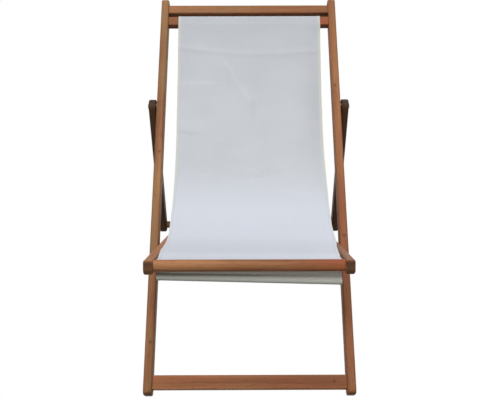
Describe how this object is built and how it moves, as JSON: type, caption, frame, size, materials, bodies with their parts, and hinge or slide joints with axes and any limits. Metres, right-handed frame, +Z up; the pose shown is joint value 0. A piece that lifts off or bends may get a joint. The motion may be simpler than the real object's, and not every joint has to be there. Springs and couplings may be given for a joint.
{
  "type": "folding deck chair",
  "caption": "Folding wooden deck chair with a hanging canvas sling, an outer back frame, an inner seat frame and a rear prop whose round bar rests over notches in the seat rails.",
  "frame": {"origin": "on the floor, on the centre plane, below the middle of the open chair", "axes": "+X to the right of someone who faces the chair from its front, +Y from the front to the rear, +Z up"},
  "size_m": [0.5952, 0.9662, 0.8374],
  "materials": {
    "back_wood": "oiled hardwood with planed faces",
    "seat_wood": "oiled hardwood with planed faces",
    "prop_wood": "oiled hardwood with planed faces",
    "bar_wood": "oiled hardwood with planed faces",
    "stick_wood": "turned hardwood",
    "canvas": "plain woven cotton canvas",
    "steel": "zinc plated"
  },
  "bodies": {
    "back_frame": {"back_rail_left": "back_wood", "back_rail_right": "back_wood", "head_rail": "bar_wood", "head_slot_bar": "bar_wood", "foot_stretcher": "bar_wood", "head_stick": "stick_wood", "sling": "canvas", "seat_pivot_bolts": "steel", "seat_pivot_washers": "steel", "seat_pivot_nuts": "steel", "seat_nut_washers": "steel", "prop_pivot_bolts": "steel", "prop_pivot_washers": "steel", "prop_pivot_sleeves": "steel"},
    "seat_frame": {"seat_rail_left": "seat_wood", "seat_rail_right": "seat_wood", "front_bar": "bar_wood", "front_slot_bar": "bar_wood", "rear_stretcher": "bar_wood", "front_stick": "stick_wood"},
    "prop": {"prop_leg_left": "prop_wood", "prop_leg_right": "prop_wood", "prop_bar": "prop_wood"}
  },
  "joints": [
    {"name": "seat_fold", "type": "hinge", "parent": "back_frame", "child": "seat_frame", "pos_m": [0, -0.18099, 0.27581], "axis": [1, 0, 0], "range_deg": [0, 62], "deforming": ["sling"]},
    {"name": "prop_swing", "type": "hinge", "parent": "back_frame", "child": "prop", "pos_m": [0, 0.14132, 0.57533], "axis": [1, 0, 0], "range_deg": [0, 124]}
  ],
  "couplings": [
    {"joint": "prop_swing", "follows": "seat_fold", "ratio": 2}
  ]
}
